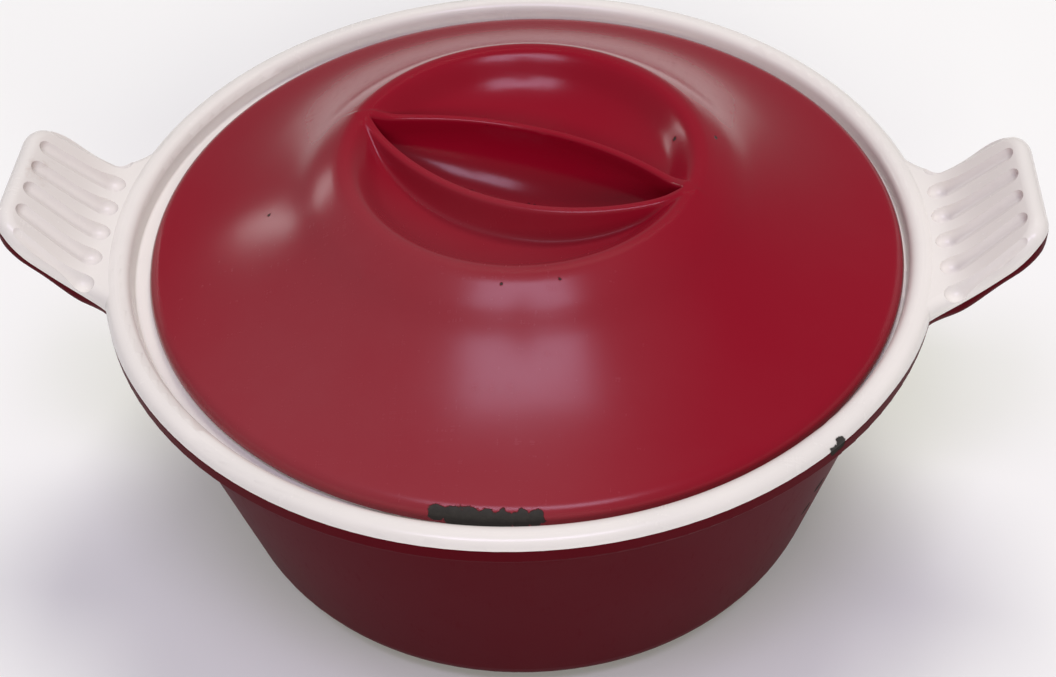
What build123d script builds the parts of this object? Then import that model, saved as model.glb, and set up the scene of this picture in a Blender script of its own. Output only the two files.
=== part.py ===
from build123d import *
import math
import os

# Round enamelled cast-iron casserole: a pot with two upswept fluted handles and a lid whose
# grip is cast in one with it. Millimetres, +Z up, origin on the floor under the pot's axis,
# handles along X. Every size is taken over the enamel, and the iron lies one coat inside it.

# ---- driving dimensions ----
rim_radius = 120.0          # outermost radius of the rolled rim
pot_height = 99.0           # floor to the top of the rim
enamel = 0.4                # thickness of each fired enamel coat
wall = 5.0                  # pot wall over both coats
base_thickness = 6.0        # pot floor over both coats

# pot body
rim_width = 7.1             # radial width of the rolled rim
rim_drop = 7.5              # height of the rim's outer face
rim_overhang = 6.3          # how far the rim stands out over the wall
wall_taper = 23.2           # how much the radius shrinks from rim to floor
corner_radius = 14.0        # outside corner between wall and floor
foot_width = 9.0            # radial width of the bare foot ring
foot_lift = 1.0             # height of the enamelled underside over the floor
colour_line = 2.7           # top of the rim down to where the two colours meet

# seat for the lid
seat_drop = 6.4             # top of the rim down to the ledge
seat_width = 7.2            # radial width of the ledge
seat_thickness = 4.0        # thickness of the ledge at its inner lip

# handles
handle_reach = 147.0        # pot axis to the tip of a handle
handle_width = 52.5         # across the outer end
handle_rise = 19.5          # top of the lip over the top of the rim
handle_thickness = 8.4
flare_radius = 26.0         # concave side where a handle runs into the rim
handle_corner = 11.0        # plan corner at the outer end
handle_edge = 3.4           # rounding of the edges
flute_count = 6
flute_pitch = 9.5           # between flutes at the outer end
flute_spread = 11.2         # between flutes at the rim
flute_radius = 3.6
flute_depth = 1.5           # depth along the handle
flute_pocket = 2.7          # depth of the pocket at the rim end

# lid
lid_play = 4.0              # radial play between the lid's edge and the rim
lid_slack_x = 1.9           # where the lid lies within that play
lid_slack_y = -1.2
lid_turn = -19.0            # degrees that the lid is turned from the handles
lid_gap = 0.1               # unevenness of the enamel between lid and ledge
lid_wall = 4.8              # lid thickness over both coats
lid_edge = 6.0              # height of the lid's edge
lid_land = 6.5              # radial width of the land that rests on the ledge
ring_radius = 49.5          # crest of the round ridge
ring_height = 28.5          # crest over the top of the rim
hollow_depth = 13.5         # finger hollows below the crest

# lens-shaped pit between the two finger hollows
lens_length = 93.0
lens_width = 31.0
lip = 3.2                   # thickness of the lips at their top
lip_drop = 1.0              # ends of the lips below the crest
lip_sag = 3.6               # how far the lips dip at the middle
lip_draft = 2.6             # how much each lip spreads down to the hollow floor
pit_waterline = 9.0         # depth of the upright walls below the crest

# ---- derived sizes ----
rim_top = pot_height
rim_inner = rim_radius - rim_width
wall_top = rim_radius - rim_overhang
foot_outer = wall_top - wall_taper
seat_radius = rim_inner - 1.2
seat_inner = seat_radius - seat_width
seat_z = rim_top - seat_drop
taper = math.atan2(wall_taper, pot_height - rim_drop)
wall_across = wall / math.cos(taper)
foot_inner = foot_outer - corner_radius * math.tan((math.pi / 2 - taper) / 2) - foot_width
flare_y = handle_width / 2 + flare_radius
flare_x = math.sqrt((rim_radius - 2.5 + flare_radius) ** 2 - flare_y ** 2)
lid_radius = rim_inner - lid_play
lid_base = seat_z + lid_gap
lid_top = lid_base + lid_edge
crest = rim_top + ring_height
hollow_floor = crest - hollow_depth
waterline = crest - pit_waterline
lens_arc = (lens_length ** 2 + lens_width ** 2) / (4 * lens_width)
lens_centre = lens_arc - lens_width / 2
lid_at = Location((lid_slack_x, lid_slack_y, 0), (0, 0, lid_turn))


def drawn_in(curve, inset, side, mode=Mode.ADD):
    """The same curve moved by inset along its normal, to the left for side 1, else to the right."""
    count = 40
    points = []
    for step in range(count + 1):
        place = curve @ (step / count)
        along = (curve % (step / count)) * (inset * side)
        points.append((place.X - along.Y, place.Y + along.X))
    return Spline(*points, tangents=(curve % 0, curve % 1), mode=mode)


# ---- pot ----
def pot_bowl(inset):
    """The round bowl with its rim, ledge and foot, drawn in by inset on every side."""
    outline = (
        ((0, foot_lift), 0),
        ((foot_inner, foot_lift), 0.4),
        ((foot_inner + foot_lift, 0), 0.4),
        ((foot_outer, 0), corner_radius),
        ((wall_top, rim_top - rim_drop - 0.6), 2.4),
        ((rim_radius, rim_top - rim_drop), 1.4),
        ((rim_radius, rim_top), rim_width / 2 - 0.1),
        ((rim_inner, rim_top), rim_width / 2 - 0.2),
        ((seat_radius, seat_z), 0.8),
        ((seat_inner, seat_z), 1.5),
        ((seat_inner, seat_z - seat_thickness), 1.5),
        ((wall_top - wall_across - 0.8, seat_z - 2 * seat_thickness), 4.0),
        ((foot_outer - wall_across + base_thickness * math.tan(taper), base_thickness), corner_radius - wall),
        ((0, base_thickness), 0),
    )
    with BuildPart() as bowl:
        with BuildSketch(Plane.XZ):
            with BuildLine():
                FilletPolyline(*[p for p, r in outline], radius=[r for p, r in outline], close=True)
            make_face()
            mirror(about=Plane.YZ)
            if inset > 0:
                offset(amount=-inset)
            with Locations((rim_radius, 0)):
                Rectangle(2 * rim_radius, 4 * pot_height, mode=Mode.INTERSECT)
        revolve(axis=Axis.Z)
    return bowl.part


def tab_top(inset, mode=Mode.ADD):
    """Side view of a handle's upper face, from inside the rim to past its tip."""
    low = rim_top - 0.2 - inset
    high = rim_top + handle_rise - inset
    return Spline(
        (rim_radius - 12, low),
        (rim_radius + 2, low + 0.3),
        ((rim_radius + handle_reach) / 2 - 0.5, low + 0.46 * handle_rise),
        (handle_reach - 6, high - 2.6),
        (handle_reach + 2, high + 0.3),
        tangents=((1, 0), (1, 0.15)),
        mode=mode,
    )


def tab_under(inset):
    """Side view of a handle's lower face."""
    low = rim_top - 0.2 - handle_thickness + inset
    high = rim_top + handle_rise - handle_thickness + inset
    return Spline(
        (rim_radius - 12, low),
        (rim_radius + 5, low + 0.3),
        (handle_reach - 10, high - 0.46 * handle_rise),
        (handle_reach - 3, high - 3),
        (handle_reach + 2, high - 0.9),
        tangents=((1, 0), (1, 0.35)),
    )


def handle(inset):
    """One handle on the +X side; its inner end is buried in the rim."""
    with BuildPart() as tab:
        with BuildSketch(Plane.XZ):
            with BuildLine():
                upper = tab_top(inset)
                lower = tab_under(inset)
                Line(upper @ 0, lower @ 0)
                Line(upper @ 1, lower @ 1)
            make_face()
        extrude(amount=rim_radius, both=True)
        with BuildSketch() as plan:
            with Locations((handle_reach / 2, 0)):
                Rectangle(handle_reach - 2 * inset, handle_width - 2 * inset)
            fillet(plan.vertices().group_by(Axis.X)[-1], handle_corner - inset)
            Polygon((0, 0), (flare_x, -flare_y), (flare_x, flare_y), align=None)
            with Locations((flare_x, -flare_y), (flare_x, flare_y)):
                Circle(flare_radius + inset, mode=Mode.SUBTRACT)
            Circle(rim_radius - 2, mode=Mode.SUBTRACT)
        extrude(amount=2 * pot_height, mode=Mode.INTERSECT)
        free = tab.edges().filter_by(lambda e: math.hypot((e @ 0.5).X, (e @ 0.5).Y) > rim_radius - 1.5)
        fillet(free.filter_by(lambda e: abs((e % 0.5).Z) < 0.97), handle_edge - inset)
    return tab.part


def flutes(inset):
    """Cutters for the grooves on one handle, deepest at the rim end and round at both ends."""
    lift = flute_radius - flute_depth
    with BuildPart() as cutter:
        with BuildLine() as path:
            guide = tab_top(0, mode=Mode.PRIVATE)
            places = [guide @ t for t in (0.50, 0.60, 0.69, 0.77)]
            slopes = [guide % t for t in (0.50, 0.60, 0.69, 0.77)]
            along = [(p.X - lift * d.Y, 0, p.Y + lift * d.X) for p, d in zip(places, slopes)]
            Spline((rim_radius + 2.6, 0, rim_top + flute_radius - flute_pocket), *along)
        with BuildSketch(Plane(origin=path.line @ 0, z_dir=path.line % 0)):
            Circle(flute_radius + inset)
        sweep()
        with Locations(path.line @ 0, path.line @ 1):
            Sphere(flute_radius + inset)
    run = (path.line @ 1).X - rim_radius
    with BuildPart() as cutters:
        for index in range(flute_count):
            place = index - (flute_count - 1) / 2
            turn = math.degrees(math.atan2(place * (flute_pitch - flute_spread), run))
            fan = Location((rim_radius, place * flute_spread, 0), (0, 0, turn)) * Location((-rim_radius, 0, 0))
            add(cutter.part.moved(fan))
    return cutters.part


def pot_shape(inset):
    with BuildPart() as shape:
        add(pot_bowl(inset))
        tab = handle(inset)
        add(tab)
        add(tab.mirror(Plane.YZ))
        grooves = flutes(inset)
        add(grooves, mode=Mode.SUBTRACT)
        add(grooves.mirror(Plane.YZ), mode=Mode.SUBTRACT)
    return shape.part


def cream_zone():
    """All space over the line where the inner colour meets the outer one."""
    level = rim_top - colour_line
    with BuildPart() as zone:
        with BuildSketch(Plane.XZ):
            with BuildLine():
                middle = drawn_in(tab_top(0, mode=Mode.PRIVATE), handle_thickness / 2, -1, mode=Mode.PRIVATE)
                border = Spline(
                    (rim_radius - 22, level),
                    *[middle @ t for t in (0.3, 0.45, 0.6, 0.75, 0.9, 1.0)],
                    tangents=((1, 0), (middle % 1)),
                )
                far = border @ 1
                Polyline(far, (far.X + 20, far.Y), (far.X + 20, 2 * pot_height), (0, 2 * pot_height),
                         (0, level), border @ 0)
            make_face()
            mirror(about=Plane.YZ)
        extrude(amount=2 * rim_radius, both=True)
    return zone.part


def lid_crown(inset):
    """The lid without its lens: rolled edge, hollow cone, round ridge and one round hollow."""
    under = hollow_floor - lid_wall
    with BuildPart() as crown:
        with BuildSketch(Plane.XZ):
            with BuildLine():
                over = Spline(
                    (0, hollow_floor),
                    (ring_radius - 22, hollow_floor + 0.3),
                    (ring_radius - 9, hollow_floor + 0.45 * hollow_depth),
                    (ring_radius, crest),
                    (ring_radius + 7, crest - 3.5),
                    (ring_radius + 16.5, crest - 10.9),
                    (ring_radius + 29.5, crest - 18.7),
                    (ring_radius + 43.5, crest - 24.9),
                    (lid_radius - 3.4, lid_top),
                    tangents=((1, 0), (1, -0.25)),
                    mode=Mode.PRIVATE,
                )
                below = Spline(
                    (lid_radius - lid_land - 1.6, lid_top - lid_wall + 1.0),
                    (ring_radius + 29.5, crest - 18.7 - lid_wall - 0.8),
                    (ring_radius + 8, crest - 4 - lid_wall - 1.6),
                    (ring_radius, crest - lid_wall - 1.4),
                    (ring_radius - 7, crest - lid_wall - 6.5),
                    (ring_radius - 18, under + 0.6),
                    (0, under),
                    tangents=((-1, 0.25), (-1, 0)),
                    mode=Mode.PRIVATE,
                )
                top = drawn_in(over, inset, -1)
                edge = TangentArc(top @ 1, (lid_radius - inset, lid_top - 2.9), tangent=top % 1)
                inner = drawn_in(below, inset, -1)
                FilletPolyline(
                    edge @ 1,
                    (lid_radius - inset, lid_base + inset),
                    (lid_radius - lid_land + inset, lid_base + inset),
                    inner @ 0,
                    radius=(1.5 - inset, 0.8),
                )
                Line(inner @ 1, top @ 0)
            make_face()
        revolve(axis=Axis.Z)
    return crown.part


def lens(grow):
    """Plan of the lens, grown outwards by grow, as two crossing circles."""
    with BuildSketch() as plan:
        with Locations((0, lens_centre)):
            Circle(lens_arc + grow)
        with Locations((0, -lens_centre)):
            Circle(lens_arc + grow, mode=Mode.INTERSECT)
    return plan.sketch


def lip_wall(inset):
    """The upright walls round the pit, filled solid, with their dipping top."""
    with BuildPart() as walls:
        with BuildSketch(Plane.XY.offset(crest + 1)):
            add(lens(lip - inset))
        with BuildSketch(Plane.XY.offset(hollow_floor - 2)):
            add(lens(lip + lip_draft - inset))
        loft()
        with BuildSketch(Plane.XZ):
            with BuildLine():
                rise = ThreePointArc(
                    (-ring_radius, crest - lip_drop - inset),
                    (0, crest - lip_drop - lip_sag - inset),
                    (ring_radius, crest - lip_drop - inset),
                )
                Polyline(rise @ 1, (ring_radius, seat_z), (-ring_radius, seat_z), rise @ 0)
            make_face()
        extrude(amount=ring_radius, both=True, mode=Mode.INTERSECT)
        Cylinder(ring_radius, 4 * pot_height, mode=Mode.INTERSECT)
    return walls.part


def boat(grow):
    """A spindle along X whose middle plane is the lens at the waterline."""
    with BuildPart() as spindle:
        with BuildSketch(Plane.XY.offset(waterline)):
            add(lens(grow))
            with Locations((0, ring_radius)):
                Rectangle(4 * ring_radius, 2 * ring_radius, mode=Mode.INTERSECT)
        revolve(axis=Axis((0, 0, waterline), (1, 0, 0)))
    return spindle.part


def hull(inset):
    """The outside of the pit under its upright walls."""
    with BuildPart() as lower_half:
        add(boat(lid_wall - inset))
        split(bisect_by=Plane.XY.offset(waterline), keep=Keep.BOTTOM)
    return lower_half.part


def lid_shape(inset):
    with BuildPart() as shape:
        add(lid_crown(inset))
        add(lip_wall(inset))
        add(hull(inset))
        add(boat(inset), mode=Mode.SUBTRACT)
        with BuildSketch(Plane.XY.offset(waterline)):
            add(lens(inset))
        extrude(amount=hollow_depth, mode=Mode.SUBTRACT)
    return shape.part


# ---- the castings and their coats ----
with BuildPart() as pot_casting:
    add(pot_shape(enamel))
    with BuildSketch():
        Circle(foot_inner + foot_width - 0.4)
        Circle(foot_inner + foot_lift + 0.4, mode=Mode.SUBTRACT)
    extrude(amount=enamel)

with BuildPart() as pot_coat:
    add(pot_shape(0))
    add(pot_casting.part, mode=Mode.SUBTRACT)

border = cream_zone()

with BuildPart() as pot_below:
    add(pot_coat.part)
    add(border, mode=Mode.SUBTRACT)

under_line = pot_below.solids()

with BuildPart() as pot_outer_enamel:
    add(under_line.filter_by(lambda s: s.bounding_box().min.Z < base_thickness / 2))

with BuildPart() as pot_inner_enamel:
    add(pot_coat.part)
    add(border, mode=Mode.INTERSECT)
    add(under_line.filter_by(lambda s: s.bounding_box().min.Z > base_thickness / 2))

casting_in_place = lid_shape(enamel).moved(lid_at)

with BuildPart() as lid_casting:
    add(casting_in_place)

with BuildPart() as lid_coat:
    add(lid_shape(0).moved(lid_at))
    add(casting_in_place, mode=Mode.SUBTRACT)
    split(bisect_by=Plane.XY.offset(lid_base + 1.2), keep=Keep.BOTH)

coat_pieces = lid_coat.solids().sort_by(lambda s: s.bounding_box().max.Z)

with BuildPart() as lid_outer_enamel:
    add(coat_pieces[-1])

with BuildPart() as lid_inner_enamel:
    add(coat_pieces[:-1])

pieces = {
    "pot_casting": pot_casting,
    "pot_outer_enamel": pot_outer_enamel,
    "pot_inner_enamel": pot_inner_enamel,
    "lid_casting": lid_casting,
    "lid_outer_enamel": lid_outer_enamel,
    "lid_inner_enamel": lid_inner_enamel,
}
os.makedirs("parts", exist_ok=True)
for name, piece in pieces.items():
    piece.part.label = name
    export_step(piece.part, f"parts/{name}.step")
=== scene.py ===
import math

import bmesh
import bpy
from mathutils import Matrix, Vector


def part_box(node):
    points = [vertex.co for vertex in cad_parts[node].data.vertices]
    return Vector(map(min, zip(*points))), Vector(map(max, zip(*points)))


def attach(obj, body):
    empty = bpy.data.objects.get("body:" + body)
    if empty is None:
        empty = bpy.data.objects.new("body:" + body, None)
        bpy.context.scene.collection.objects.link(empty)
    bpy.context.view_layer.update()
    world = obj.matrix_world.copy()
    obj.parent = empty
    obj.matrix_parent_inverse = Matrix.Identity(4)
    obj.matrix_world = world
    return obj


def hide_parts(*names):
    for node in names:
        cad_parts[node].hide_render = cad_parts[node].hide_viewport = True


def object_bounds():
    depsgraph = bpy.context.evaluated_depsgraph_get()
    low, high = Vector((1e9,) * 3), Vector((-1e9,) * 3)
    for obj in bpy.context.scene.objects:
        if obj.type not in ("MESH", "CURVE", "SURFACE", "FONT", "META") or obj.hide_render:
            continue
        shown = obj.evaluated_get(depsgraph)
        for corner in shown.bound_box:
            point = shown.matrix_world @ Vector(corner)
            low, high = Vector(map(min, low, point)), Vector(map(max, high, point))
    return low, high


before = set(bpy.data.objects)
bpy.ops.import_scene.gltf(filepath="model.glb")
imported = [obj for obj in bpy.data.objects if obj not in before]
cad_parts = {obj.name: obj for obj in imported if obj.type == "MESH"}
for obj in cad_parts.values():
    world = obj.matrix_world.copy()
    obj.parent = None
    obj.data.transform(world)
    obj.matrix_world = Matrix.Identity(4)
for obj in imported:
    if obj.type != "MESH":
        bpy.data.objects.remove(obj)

bl_info = {
    "name": "Enamelled Casserole",
    "version": (1, 0, 0),
    "blender": (4, 5, 0),
    "location": "3D View > Sidebar > Casserole",
    "description": "Builds the looks of a round enamelled cast-iron casserole around its CAD frame",
    "category": "Object",
}

MM = 0.001
cad_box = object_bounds()
lid_low, lid_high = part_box("lid_outer_enamel")
lid_middle = (lid_low + lid_high) / 2

# The lid's details that no property sets.
LIP_DROP = 1.6 * MM        # top of the lips' ends under the crest
LIP_ROUNDING = 1.5 * MM    # radius of the lips' outer edge
ROUND_SHARE = 0.97         # share of that radius at which the straight flank takes over
ROUND_FALL = 0.757         # how far the rounding has fallen there, as a share of its radius
FLANK_SLOPE = 4
LIP_BLEND = 8 * MM         # passage from the lips' flank to the hollows
CREST_BLEND = 0.8 * MM
PIT_ROUNDING = 1.0 * MM
EDGE_WIDTH = 3.4 * MM      # plan width of the rolled edge
EDGE_SLOPE = 0.28          # fall of the cone where the rolled edge begins
RING_MARGIN = 2.5 * MM     # from the crest to where the sheet's rings become circles

# Where the rings of the lid's sheet lie: shares of each stretch, from the pit's middle outwards.
PIT_RINGS = (0, 0.08, 0.18, 0.3, 0.43, 0.56, 0.68, 0.78, 0.86, 0.92, 0.96, 0.985, 1.0)
WALL_RINGS = (0.2, 0.4, 0.6, 0.8, 1.0)
FLARE_RINGS = (
    0.003, 0.007, 0.012, 0.018, 0.025, 0.033, 0.042, 0.052, 0.061, 0.07, 0.079, 0.088, 0.098,
    0.108, 0.119, 0.131, 0.145, 0.161, 0.18, 0.203, 0.23, 0.262, 0.3, 0.345, 0.395, 0.45,
    0.505, 0.56, 0.61, 0.66, 0.705, 0.75, 0.79, 0.83, 0.87, 0.91, 0.955, 1.0,
)
SKIRT_RINGS = (0.5, 1.0)
CONE_RINGS = 26
EDGE_RINGS = 8
SHEET_SEGMENTS = 360

# The painted sheen on the lid: a broad lighter, greyer area that stands in for the bright sky's reflection,
# in millimetres.
SHEEN_MIDDLE = (-35, -80, 108)
SHEEN_CORE = 30
SHEEN_REACH = 105

# The camera, in millimetres and degrees.
CAMERA_EYE = (32.3, -405.4, 447.2)
CAMERA_TARGET = (5.0, -47.6, 99.0)
CAMERA_LENS = 62.7
CAMERA_SENSOR = 36
CAMERA_ROLL = -2.3

# The floor, the sky and the lights, in metres and watts.
FLOOR_SIZE = 6
FLOOR_GAP = 0.0002
SKY_STRENGTH = 0.24
WINDOW = (0.82, 0.72, 1.0)
FILL = (1.0, 1.0, 0.9)
WHITE = (1, 1, 1)
LIGHT_TARGET = (0, 0, 0.1)
LIGHTS = (  # name, place, width, height, power, tint, whether it shows in reflections
    ("window_left", (-0.27, -0.66, 1.85), 0.48, 0.62, 6, WINDOW, True),
    ("window_right", (0.27, -0.66, 1.85), 0.48, 0.62, 6, WINDOW, True),
    ("side_window", (-1.25, 0.95, 0.55), 0.3, 0.2, 0.9, WHITE, True),
    ("front_fill", (0.3, -2.0, 1.2), 0.9, 0.6, 20, FILL, False),
    ("back_fill", (0.2, 1.0, 1.9), 0.9, 0.9, 24, FILL, False),
)

# Where the enamel is chipped or stained: a point and a radius, in millimetres.
LID_CHIPS = (
    (-15.0, -108.3, 96.8, 2.4),
    (-10.8, -109.0, 96.4, 3.0),
    (-6.6, -109.4, 96.2, 3.1),
    (-2.4, -109.7, 96.0, 3.0),
    (1.8, -109.8, 96.0, 2.9),
    (6.0, -109.6, 96.1, 2.8),
    (9.8, -109.2, 96.3, 2.3),
    (44.7, 9.1, 123.4, 0.45),
    (56.2, 7.9, 124.9, 0.45),
    (-69.6, -12.7, 112.4, 0.45),
    (-0.9, -54.9, 125.7, 0.3),
    (14.4, -53.1, 126.0, 0.3),
    (-38.8, -46.7, 120.5, 0.4),
)
RIM_CHIPS = (
    (87.1, -82.2, 96.7, 1.6),
    (85.5, -84.1, 96.0, 1.5),
    (139.0, -6.0, 117.5, 1.3),
)
WALL_CHIPS = (
    (87.0, -55.3, 49.7, 2.6),
    (84.3, -54.2, 38.3, 2.0),
    *RIM_CHIPS,
)
STAINS = (
    (-129.0, 10.0, 116.5, 5.0),
    (-136.0, 4.0, 117.0, 3.0),
)


def colour(name, about, value):
    return bpy.props.FloatVectorProperty(
        name=name, description=about, default=value, size=3, subtype="COLOR", min=0, max=1)


def length(name, about, value):
    return bpy.props.FloatProperty(
        name=name, description=about, default=value, subtype="DISTANCE", unit="LENGTH", precision=5)


class CasseroleSizes(bpy.types.PropertyGroup):
    """Sizes of the lid and its grip."""
    glaze: length("Glaze", "Thickness of a fired enamel coat", 0.4 * MM)
    ring_radius: length("Ring Radius", "Crest of the round ridge", 49.5 * MM)
    hollow_depth: length("Hollow Depth", "Crest of the ridge down to the finger hollows", 13.5 * MM)
    lens_length: length("Lens Length", "Length of the pointed pit", 93 * MM)
    lens_width: length("Lens Width", "Width of the pointed pit", 31 * MM)
    lip: length("Lip", "Thickness of the lips beside the pit", 3.0 * MM)
    lip_sag: length("Lip Sag", "How far the lips dip at the middle", 3.6 * MM)
    waterline: length("Waterline", "Crest of the ridge down to the foot of the pit's upright walls", 9 * MM)
    turn: bpy.props.FloatProperty(
        name="Turn", description="How far the lid is turned from the handles",
        default=math.radians(-19), subtype="ANGLE", unit="ROTATION")


class CasseroleColours(bpy.types.PropertyGroup):
    """Colours of the enamels and the iron, as linear values."""
    crimson: colour("Crimson", "Enamel on the lid", (0.235, 0.0015, 0.013))
    wine: colour("Wine", "Enamel outside the pot", (0.078, 0.002, 0.006))
    cream: colour("Cream", "Enamel inside the pot and on its rim", (0.76, 0.72, 0.69))
    iron: colour("Iron", "Bare cast iron", (0.032, 0.029, 0.025))
    stain: colour("Stain", "Old cooking stain", (0.28, 0.15, 0.08))


class Value:
    """One output of a node, which takes part in arithmetic."""

    def __init__(self, finish, socket):
        self.finish = finish
        self.socket = socket

    def maths(self, operation, *terms):
        return self.finish.add("ShaderNodeMath", {"operation": operation}, dict(enumerate(terms)))

    def __add__(self, other):
        return self.maths("ADD", self, other)

    def __sub__(self, other):
        return self.maths("SUBTRACT", self, other)

    def __rsub__(self, other):
        return self.maths("SUBTRACT", other, self)

    def __mul__(self, other):
        return self.maths("MULTIPLY", self, other)

    __radd__ = __add__
    __rmul__ = __mul__


class Finish:
    """A material and the nodes that make it."""

    def __init__(self, name):
        self.material = bpy.data.materials.new(name)
        self.material.use_nodes = True
        self.tree = self.material.node_tree
        self.tree.nodes.clear()
        self.place = self.add("ShaderNodeTexCoord", output="Object")

    def add(self, kind, settings=None, sockets=None, output=0):
        """Adds a node with its settings and its sockets' values or links, and gives one of its outputs."""
        node = self.tree.nodes.new(kind)
        for name, value in (settings or {}).items():
            setattr(node, name, value)
        for name, value in (sockets or {}).items():
            if isinstance(value, Value):
                self.tree.links.new(value.socket, node.inputs[name])
            else:
                node.inputs[name].default_value = value
        return None if output is None else Value(self, node.outputs[output])

    def noise(self, scale, detail=2.0, roughness=0.5, stretch=None):
        """Cloudy noise about a millimetre across for a scale of 1000."""
        place = self.place
        if stretch:
            place = self.add("ShaderNodeMapping", sockets={"Vector": place, "Scale": stretch})
        return self.add("ShaderNodeTexNoise", sockets={
            "Vector": place, "Scale": scale, "Detail": detail, "Roughness": roughness})

    def step(self, value, low, high, start=0.0, end=1.0):
        """A smooth step from start to end as value goes from low to high."""
        return self.add("ShaderNodeMapRange", {"interpolation_type": "SMOOTHSTEP"}, {
            "Value": value, "From Min": low, "From Max": high, "To Min": start, "To Max": end})

    def mix(self, factor, first, second):
        """Two colours mixed; each is three numbers or a colour output."""
        first, second = [c if isinstance(c, Value) else (*c, 1) for c in (first, second)]
        return self.add("ShaderNodeMix", {"data_type": "RGBA", "blend_type": "MIX"},
                        {"Factor": factor, 6: first, 7: second}, output=2)

    def distance(self, point):
        return self.add("ShaderNodeVectorMath", {"operation": "DISTANCE"},
                        {0: self.place, 1: point}, output="Value")

    def spots(self, marks, ragged, blur):
        """One inside each mark, with a ragged edge."""
        edge = self.noise(scale=420, detail=4, roughness=0.6) * ragged - ragged / 2
        nearest = None
        for *point, radius in marks:
            away = self.distance([MM * p for p in point]) - MM * radius + edge
            nearest = away if nearest is None else nearest.maths("MINIMUM", nearest, away)
        return self.step(nearest, -blur, blur, 1.0, 0.0)

    def bump(self, height, distance, strength=1.0, normal=None):
        sockets = {"Height": height, "Distance": distance, "Strength": strength}
        if normal:
            sockets["Normal"] = normal
        return self.add("ShaderNodeBump", sockets=sockets)

    def surface(self, **sockets):
        """Closes the material with one principled surface."""
        names = {key.replace("_", " "): value for key, value in sockets.items()}
        shader = self.add("ShaderNodeBsdfPrincipled", sockets=names)
        self.add("ShaderNodeOutputMaterial", sockets={"Surface": shader}, output=None)
        return self.material


def sizes():
    return bpy.context.scene.casserole_sizes


def colours():
    return bpy.context.scene.casserole_colours


def smooth_max(a, b, blend):
    """The larger of two values, with a soft passage where they are closer than blend."""
    share = max(blend - abs(a - b), 0) / blend
    return max(a, b) + share ** 3 * blend / 6


def through(points, at, slopes):
    """Height at one radius on a smooth curve through points; slopes fixes the slope at some of them."""
    index = 0
    while index < len(points) - 2 and at > points[index + 1][0]:
        index += 1

    def slope(i):
        if i in slopes:
            return slopes[i]
        (x0, y0), (x1, y1), (x2, y2) = points[i - 1], points[i], points[i + 1]
        before, after = (y1 - y0) / (x1 - x0), (y2 - y1) / (x2 - x1)
        return (before * (x2 - x1) + after * (x1 - x0)) / (x2 - x0)

    (x0, y0), (x1, y1) = points[index], points[index + 1]
    gap = x1 - x0
    t = (at - x0) / gap
    t2, t3 = t * t, t * t * t
    return ((2 * t3 - 3 * t2 + 1) * y0 + (t3 - 2 * t2 + t) * gap * slope(index)
            + (3 * t2 - 2 * t3) * y1 + (t3 - t2) * gap * slope(index + 1))


class LidShape:
    """The lid's upper surface, in the lid's own frame: u along the pit, v across it, metres."""

    def __init__(self):
        s = sizes()
        self.crest = lid_high.z - 0.02 * MM
        self.ring = s.ring_radius
        self.floor = self.crest - s.hollow_depth
        self.waterline = self.crest - s.waterline
        self.half = s.lens_length / 2
        self.arc = (s.lens_length ** 2 + s.lens_width ** 2) / (4 * s.lens_width)
        self.centre = self.arc - s.lens_width / 2
        self.lip = s.lip
        self.sag = s.lip_sag
        self.radius = (lid_high.x - lid_low.x) / 2
        drop = s.hollow_depth
        self.crown_points = [
            (0, self.floor),
            (self.ring - 22 * MM, self.floor + 0.3 * MM),
            (self.ring - 9 * MM, self.floor + 0.45 * drop),
            (self.ring, self.crest),
            (self.ring + 7 * MM, self.crest - 3.5 * MM),
            (self.ring + 16.5 * MM, self.crest - 10.9 * MM),
            (self.ring + 29.5 * MM, self.crest - 18.7 * MM),
            (self.ring + 43.5 * MM, self.crest - 24.9 * MM),
            (self.radius - EDGE_WIDTH, self.crest - 28.8 * MM),
        ]

    def crown(self, r):
        """The ridge, hollow and cone without the grip; the slope is fixed at the middle, crest and edge."""
        return through(self.crown_points, r, {0: 0.0, 3: 0.0, 8: -EDGE_SLOPE})

    def half_width(self, u):
        """Half the pit's width at u."""
        return max(math.sqrt(self.arc ** 2 - u * u) - self.centre, 0)

    def outside(self, u, v):
        """Distance from the pit's outline, positive outside it."""
        return math.hypot(u, abs(v) + self.centre) - self.arc

    def height(self, u, v):
        """The upper surface outside the pit."""
        d = self.outside(u, v)
        top = self.crest - LIP_DROP - self.sag * (1 - (u / self.ring) ** 2)
        past = d - self.lip + LIP_ROUNDING
        if past <= 0:
            lip = top
        elif past < ROUND_SHARE * LIP_ROUNDING:
            lip = top - LIP_ROUNDING + math.sqrt(LIP_ROUNDING ** 2 - past ** 2)
        else:
            lip = top - ROUND_FALL * LIP_ROUNDING - (past - ROUND_SHARE * LIP_ROUNDING) * FLANK_SLOPE
        z = smooth_max(self.crown(math.hypot(u, v)), lip, LIP_BLEND)
        if 0 <= d < PIT_ROUNDING:
            z -= PIT_ROUNDING - math.sqrt(PIT_ROUNDING ** 2 - (PIT_ROUNDING - d) ** 2)
        return -smooth_max(-z, -self.crest, CREST_BLEND)


def disc(rings, segments):
    """A flat disc of rings one metre apart, with the ring's number as its radius."""
    bm = bmesh.new()
    line = [bm.verts.new((ring, 0, 0)) for ring in range(rings)]
    edges = [bm.edges.new(pair) for pair in zip(line, line[1:])]
    bmesh.ops.spin(bm, geom=line + edges, cent=(0, 0, 0), axis=(0, 0, 1), dvec=(0, 0, 0),
                   angle=2 * math.pi, steps=segments, use_merge=True)
    bmesh.ops.remove_doubles(bm, verts=bm.verts[:], dist=0.001)
    return bm


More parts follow.
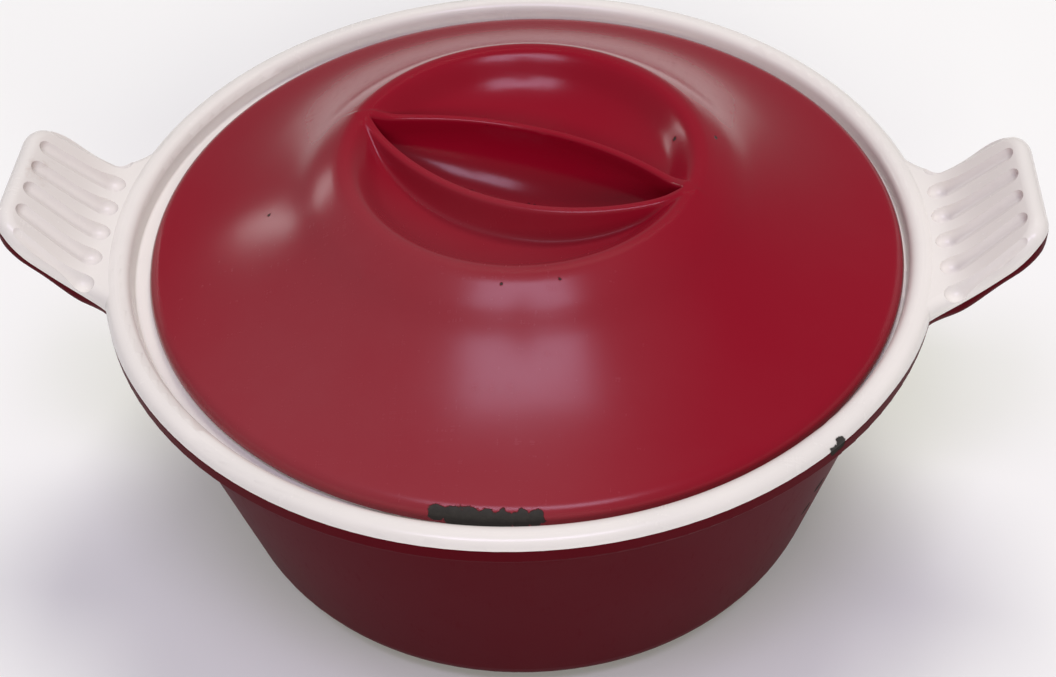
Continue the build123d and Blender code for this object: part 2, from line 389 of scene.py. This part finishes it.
def piece_from(bm, name, material, body):
    """A smooth object from a mesh under construction, riding a body and wearing a material."""
    bmesh.ops.recalc_face_normals(bm, faces=bm.faces[:])
    for face in bm.faces:
        face.smooth = True
    mesh = bpy.data.meshes.new(name)
    bm.to_mesh(mesh)
    bm.free()
    piece = bpy.data.objects.new(name, mesh)
    bpy.context.scene.collection.objects.link(piece)
    mesh.materials.append(material)
    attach(piece, body)
    return piece


def lid_sheet(shape, turn):
    """The lid's upper surface as one open sheet, from the middle of the pit to the lid's lower edge."""
    outer = shape.ring + RING_MARGIN
    edge_start = shape.radius - EDGE_WIDTH
    cone = [outer + (edge_start - outer) * (i / CONE_RINGS) for i in range(1, CONE_RINGS + 1)]
    tilt = math.atan(EDGE_SLOPE)
    bend = EDGE_WIDTH / (1 - math.sin(tilt))
    bend_height = shape.crown(edge_start) - bend * math.cos(tilt)
    arc = [tilt + (math.pi / 2 - tilt) * (i / EDGE_RINGS) for i in range(1, EDGE_RINGS + 1)]
    wall_start = len(PIT_RINGS)
    flare_start = wall_start + len(WALL_RINGS)
    cone_start = flare_start + len(FLARE_RINGS)
    arc_start = cone_start + len(cone)
    skirt_start = arc_start + len(arc)
    low = lid_low.z
    bm = disc(skirt_start + len(SKIRT_RINGS), SHEET_SEGMENTS)
    cos, sin = math.cos(turn), math.sin(turn)
    for vert in bm.verts:
        ring = round(vert.co.length)
        angle = math.atan2(vert.co.y, vert.co.x)
        c, s = math.cos(angle), math.sin(angle)
        rim_u = shape.half * c
        rim_v = math.copysign(shape.half_width(rim_u), s)
        if ring < wall_start:
            u, v = PIT_RINGS[ring] * rim_u, PIT_RINGS[ring] * rim_v
            z = shape.waterline - math.sqrt(max(shape.half_width(u) ** 2 - v * v, 0))
        elif ring < flare_start:
            u, v = rim_u, rim_v
            share = WALL_RINGS[ring - wall_start]
            z = shape.waterline + share * (shape.height(u, v) - shape.waterline)
        elif ring < cone_start:
            share = FLARE_RINGS[ring - flare_start]
            u = rim_u + share * (outer * c - rim_u)
            v = rim_v + share * (outer * s - rim_v)
            z = shape.height(u, v)
        else:
            if ring < arc_start:
                r = cone[ring - cone_start]
                z = shape.height(r * c, r * s)
            elif ring < skirt_start:
                way = arc[ring - arc_start]
                r = shape.radius - bend + bend * math.sin(way)
                z = bend_height + bend * math.cos(way)
            else:
                r = shape.radius
                z = bend_height + (low - bend_height) * SKIRT_RINGS[ring - skirt_start]
            u, v = r * c, r * s
        vert.co = (lid_middle.x + u * cos - v * sin, lid_middle.y + u * sin + v * cos, z)
    return bm


def enamel(name, base, haze, gloss, shine, chips=(), stains=(), painted_sheen=0.0):
    """Glossy fired enamel with a thin cloudy haze, fine scratches, stains, and chips down to the iron.

    The painted sheen is a broad lighter, greyer area at the front left, a painted reflection of the bright
    sky; it also raises the roughness there.
    """
    c = colours()
    f = Finish(name)
    film_and_sheen = f.step(f.noise(scale=22, detail=4, roughness=0.55), 0.36, 0.75) * haze
    # Painted sheen: a lighter, greyer patch at the front left that stands in for the bright sky's
    # reflection, and more roughness there.
    if painted_sheen:
        away = f.distance([MM * p for p in SHEEN_MIDDLE])
        sheen_mask = f.step(away, SHEEN_CORE * MM, SHEEN_REACH * MM, 1.0, 0.0)
        film_and_sheen = film_and_sheen + painted_sheen * sheen_mask * (0.7 + 0.6 * f.noise(scale=30, detail=4, roughness=0.6))
    tone = f.mix(f.noise(scale=9), [0.93 * v for v in base], [min(1.07 * v, 1) for v in base])
    # The random haze and the painted sheen lift the colour towards a light grey.
    tone = f.mix(film_and_sheen, tone, [0.5 * v + 0.2 for v in base])
    lengthways = f.noise(scale=60, detail=3, roughness=0.7, stretch=(1, 14, 1))
    crossways = f.noise(scale=70, detail=3, roughness=0.7, stretch=(12, 1, 1))
    scratch = lengthways * crossways
    roughness = gloss + 0.3 * film_and_sheen + 0.06 * f.step(scratch, 0.30, 0.42)
    normal = f.bump(f.noise(scale=160), 0.05 * MM, 0.35)
    if stains:
        stain = f.spots(stains, ragged=9 * MM, blur=4 * MM) * 0.75
        tone = f.mix(stain, tone, tuple(c.stain))
        roughness = roughness + 0.3 * stain
    if chips:
        chip = f.spots(chips, ragged=3.2 * MM, blur=0.2 * MM)
        grain = f.noise(scale=700, detail=5, roughness=0.7)
        iron = f.mix(grain, [0.5 * v for v in c.iron], [1.6 * v for v in c.iron])
        tone = f.mix(chip, tone, iron)
        roughness = roughness + 0.45 * chip
        normal = f.bump(1 - chip + 0.25 * grain * chip, 0.5 * MM, 0.8, normal)
    return f.surface(Base_Color=tone, Roughness=roughness, IOR=1.52, Specular_IOR_Level=shine,
                     Normal=normal)


class OBJECT_OT_casserole_lid(bpy.types.Operator):
    """Builds the lid's crimson glaze with its ridge, hollows and pointed pit"""
    bl_idname = "object.casserole_lid"
    bl_label = "Lid Glaze"

    def execute(self, context):
        shape = LidShape()
        bm = lid_sheet(shape, sizes().turn)
        # The crimson enamel carries a painted sheen at the front left, which stands in for the bright sky's
        # reflection.
        material = enamel("crimson_enamel", tuple(colours().crimson), haze=0.01, gloss=0.2, shine=0.30,
                          chips=LID_CHIPS, painted_sheen=0.12)
        lid = piece_from(bm, "lid_glaze", material, "lid")
        shell = lid.modifiers.new("coat", "SOLIDIFY")
        shell.thickness = sizes().glaze
        shell.offset = -1
        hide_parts("lid_outer_enamel")
        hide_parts("lid_casting")
        return {"FINISHED"}


class OBJECT_OT_casserole_pot(bpy.types.Operator):
    """Gives the pot's casting and coats their finishes"""
    bl_idname = "object.casserole_pot"
    bl_label = "Pot Finishes"

    def execute(self, context):
        c = colours()
        wine = enamel("wine_enamel", tuple(c.wine), haze=0.01, gloss=0.42, shine=0.02, chips=WALL_CHIPS)
        cream = enamel("cream_enamel", tuple(c.cream), haze=0.25, gloss=0.2, shine=0.4,
                       chips=RIM_CHIPS, stains=STAINS)
        f = Finish("bare_iron")
        grain = f.noise(scale=700, detail=5, roughness=0.7)
        tone = f.mix(grain, [0.6 * v for v in c.iron], [1.7 * v for v in c.iron])
        iron = f.surface(Base_Color=tone, Roughness=0.55 + 0.3 * grain, Metallic=0.6,
                         Normal=f.bump(grain, 0.2 * MM, 0.8))
        for node, material in (
            ("pot_casting", iron), ("pot_outer_enamel", wine), ("pot_inner_enamel", cream),
            ("lid_casting", iron), ("lid_inner_enamel", cream),
        ):
            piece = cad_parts[node]
            for slot in piece.material_slots:
                slot.material = material
        return {"FINISHED"}


class OBJECT_OT_casserole_stage(bpy.types.Operator):
    """Sets the floor, the lights and the camera"""
    bl_idname = "object.casserole_stage"
    bl_label = "Stage"

    def execute(self, context):
        scene = context.scene
        bm = bmesh.new()
        bmesh.ops.create_grid(bm, x_segments=2, y_segments=2, size=FLOOR_SIZE)
        bmesh.ops.recalc_face_normals(bm, faces=bm.faces[:])
        mesh = bpy.data.meshes.new("floor")
        bm.to_mesh(mesh)
        bm.free()
        floor = bpy.data.objects.new("floor", mesh)
        floor.location.z = cad_box[0][2] - FLOOR_GAP
        scene.collection.objects.link(floor)
        f = Finish("pale_floor")
        shade = f.mix(f.noise(scale=3, detail=3), (0.88, 0.88, 0.88), (0.91, 0.91, 0.905))
        mesh.materials.append(f.surface(Base_Color=shade, Roughness=0.8))

        target = Vector(CAMERA_TARGET) * MM
        eye = Vector(CAMERA_EYE) * MM
        camera_data = bpy.data.cameras.new("camera")
        camera_data.lens = CAMERA_LENS
        camera_data.sensor_width = CAMERA_SENSOR
        camera_data.clip_start = 0.01
        camera = bpy.data.objects.new("camera", camera_data)
        aim = (target - eye).to_track_quat("-Z", "Y").to_matrix().to_4x4()
        roll = Matrix.Rotation(math.radians(CAMERA_ROLL), 4, "Z")
        camera.matrix_world = Matrix.Translation(eye) @ aim @ roll
        scene.collection.objects.link(camera)
        scene.camera = camera

        for name, place, width, height, power, tint, glossy in LIGHTS:
            data = bpy.data.lights.new(name, "AREA")
            data.shape = "RECTANGLE"
            data.size = width
            data.size_y = height
            data.energy = power
            data.color = tint
            light = bpy.data.objects.new(name, data)
            light.visible_glossy = glossy
            place = Vector(place)
            aim = (Vector(LIGHT_TARGET) - place).to_track_quat("-Z", "Y").to_matrix().to_4x4()
            light.matrix_world = Matrix.Translation(place) @ aim
            scene.collection.objects.link(light)

        world = bpy.data.worlds.new("world")
        world.use_nodes = True
        world.node_tree.nodes["Background"].inputs["Color"].default_value = (1, 1, 1, 1)
        world.node_tree.nodes["Background"].inputs["Strength"].default_value = SKY_STRENGTH
        scene.world = world
        scene.view_settings.view_transform = "Standard"
        return {"FINISHED"}


class VIEW3D_PT_casserole(bpy.types.Panel):
    """Lists the casserole's sizes, colours and pieces"""
    bl_label = "Casserole"
    bl_space_type = "VIEW_3D"
    bl_region_type = "UI"
    bl_category = "Casserole"

    def draw(self, context):
        for group in (context.scene.casserole_sizes, context.scene.casserole_colours):
            for name in group.__annotations__:
                self.layout.prop(group, name)
        for operator in OPERATORS:
            self.layout.operator(operator.bl_idname)


OPERATORS = (OBJECT_OT_casserole_pot, OBJECT_OT_casserole_lid, OBJECT_OT_casserole_stage)
CLASSES = (CasseroleSizes, CasseroleColours, *OPERATORS, VIEW3D_PT_casserole)


def register():
    for cls in CLASSES:
        bpy.utils.register_class(cls)
    bpy.types.Scene.casserole_sizes = bpy.props.PointerProperty(type=CasseroleSizes)
    bpy.types.Scene.casserole_colours = bpy.props.PointerProperty(type=CasseroleColours)


def unregister():
    del bpy.types.Scene.casserole_colours
    del bpy.types.Scene.casserole_sizes
    for cls in reversed(CLASSES):
        bpy.utils.unregister_class(cls)


def main():
    register()
    bpy.ops.object.casserole_pot()
    bpy.ops.object.casserole_lid()
    bpy.ops.object.casserole_stage()


if __name__ == "__main__":
    main()
